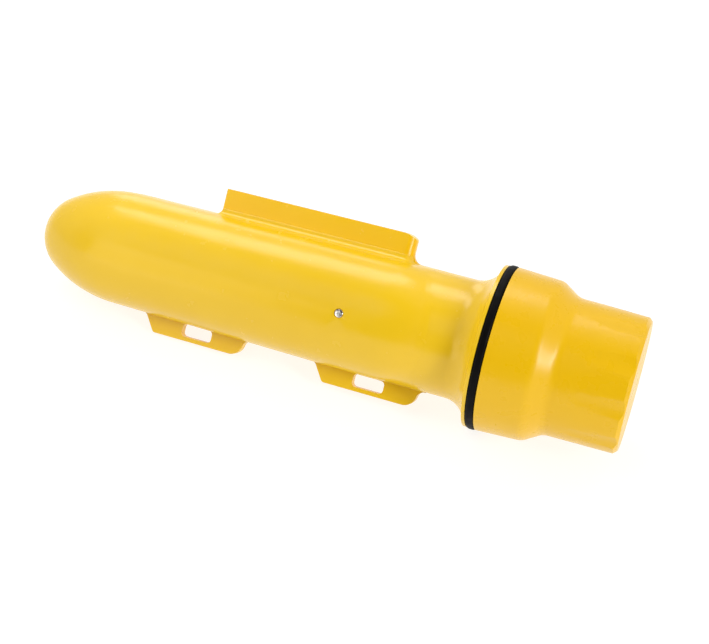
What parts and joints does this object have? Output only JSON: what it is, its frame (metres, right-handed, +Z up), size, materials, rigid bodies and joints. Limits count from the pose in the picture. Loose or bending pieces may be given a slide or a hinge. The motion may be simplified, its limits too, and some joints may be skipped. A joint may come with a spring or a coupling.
{
  "type": "fishing net tracking buoy",
  "caption": "Moulded float with a screw-on battery cover, a pole rest on one side and two slotted strap lugs on the other; lashed to a net pole.",
  "frame": {"origin": "on the floor, under the middle of the box round the buoy as it lies", "axes": "+Z up; +X along the buoy from its nose to its cap, which lies 3 degrees higher; the strap lugs point down and towards -Y"},
  "size_m": [0.3414, 0.0904, 0.0904],
  "materials": {
    "shell": "glossy moulded ABS, yellow",
    "cap": "glossy moulded ABS, a slightly deeper yellow",
    "seal": "black, satin",
    "battery": "blue shrink sleeve",
    "contact": "bright stainless steel"
  },
  "bodies": {
    "housing": {"housing": "shell", "pole_rest": "shell", "strap_lug_nose": "shell", "strap_lug_cap": "shell", "battery_pack": "battery", "water_contact": "contact"},
    "seal": {"seal_ring": "seal"},
    "cap": {"screw_cap": "cap"}
  },
  "joints": [
    {"name": "cap_travel", "type": "slide", "parent": "housing", "child": "seal", "axis": [0.9988, 0, 0.0498], "range_m": [0, 0.0181]},
    {"name": "cap_turn", "type": "hinge", "parent": "seal", "child": "cap", "pos_m": [0.0947, 0, 0.04534], "axis": [0.9988, 0, 0.0498], "range_deg": [0, 1080]}
  ],
  "couplings": [
    {"joint": "cap_travel", "follows": "cap_turn", "m_per_rad": 0.00095493}
  ]
}
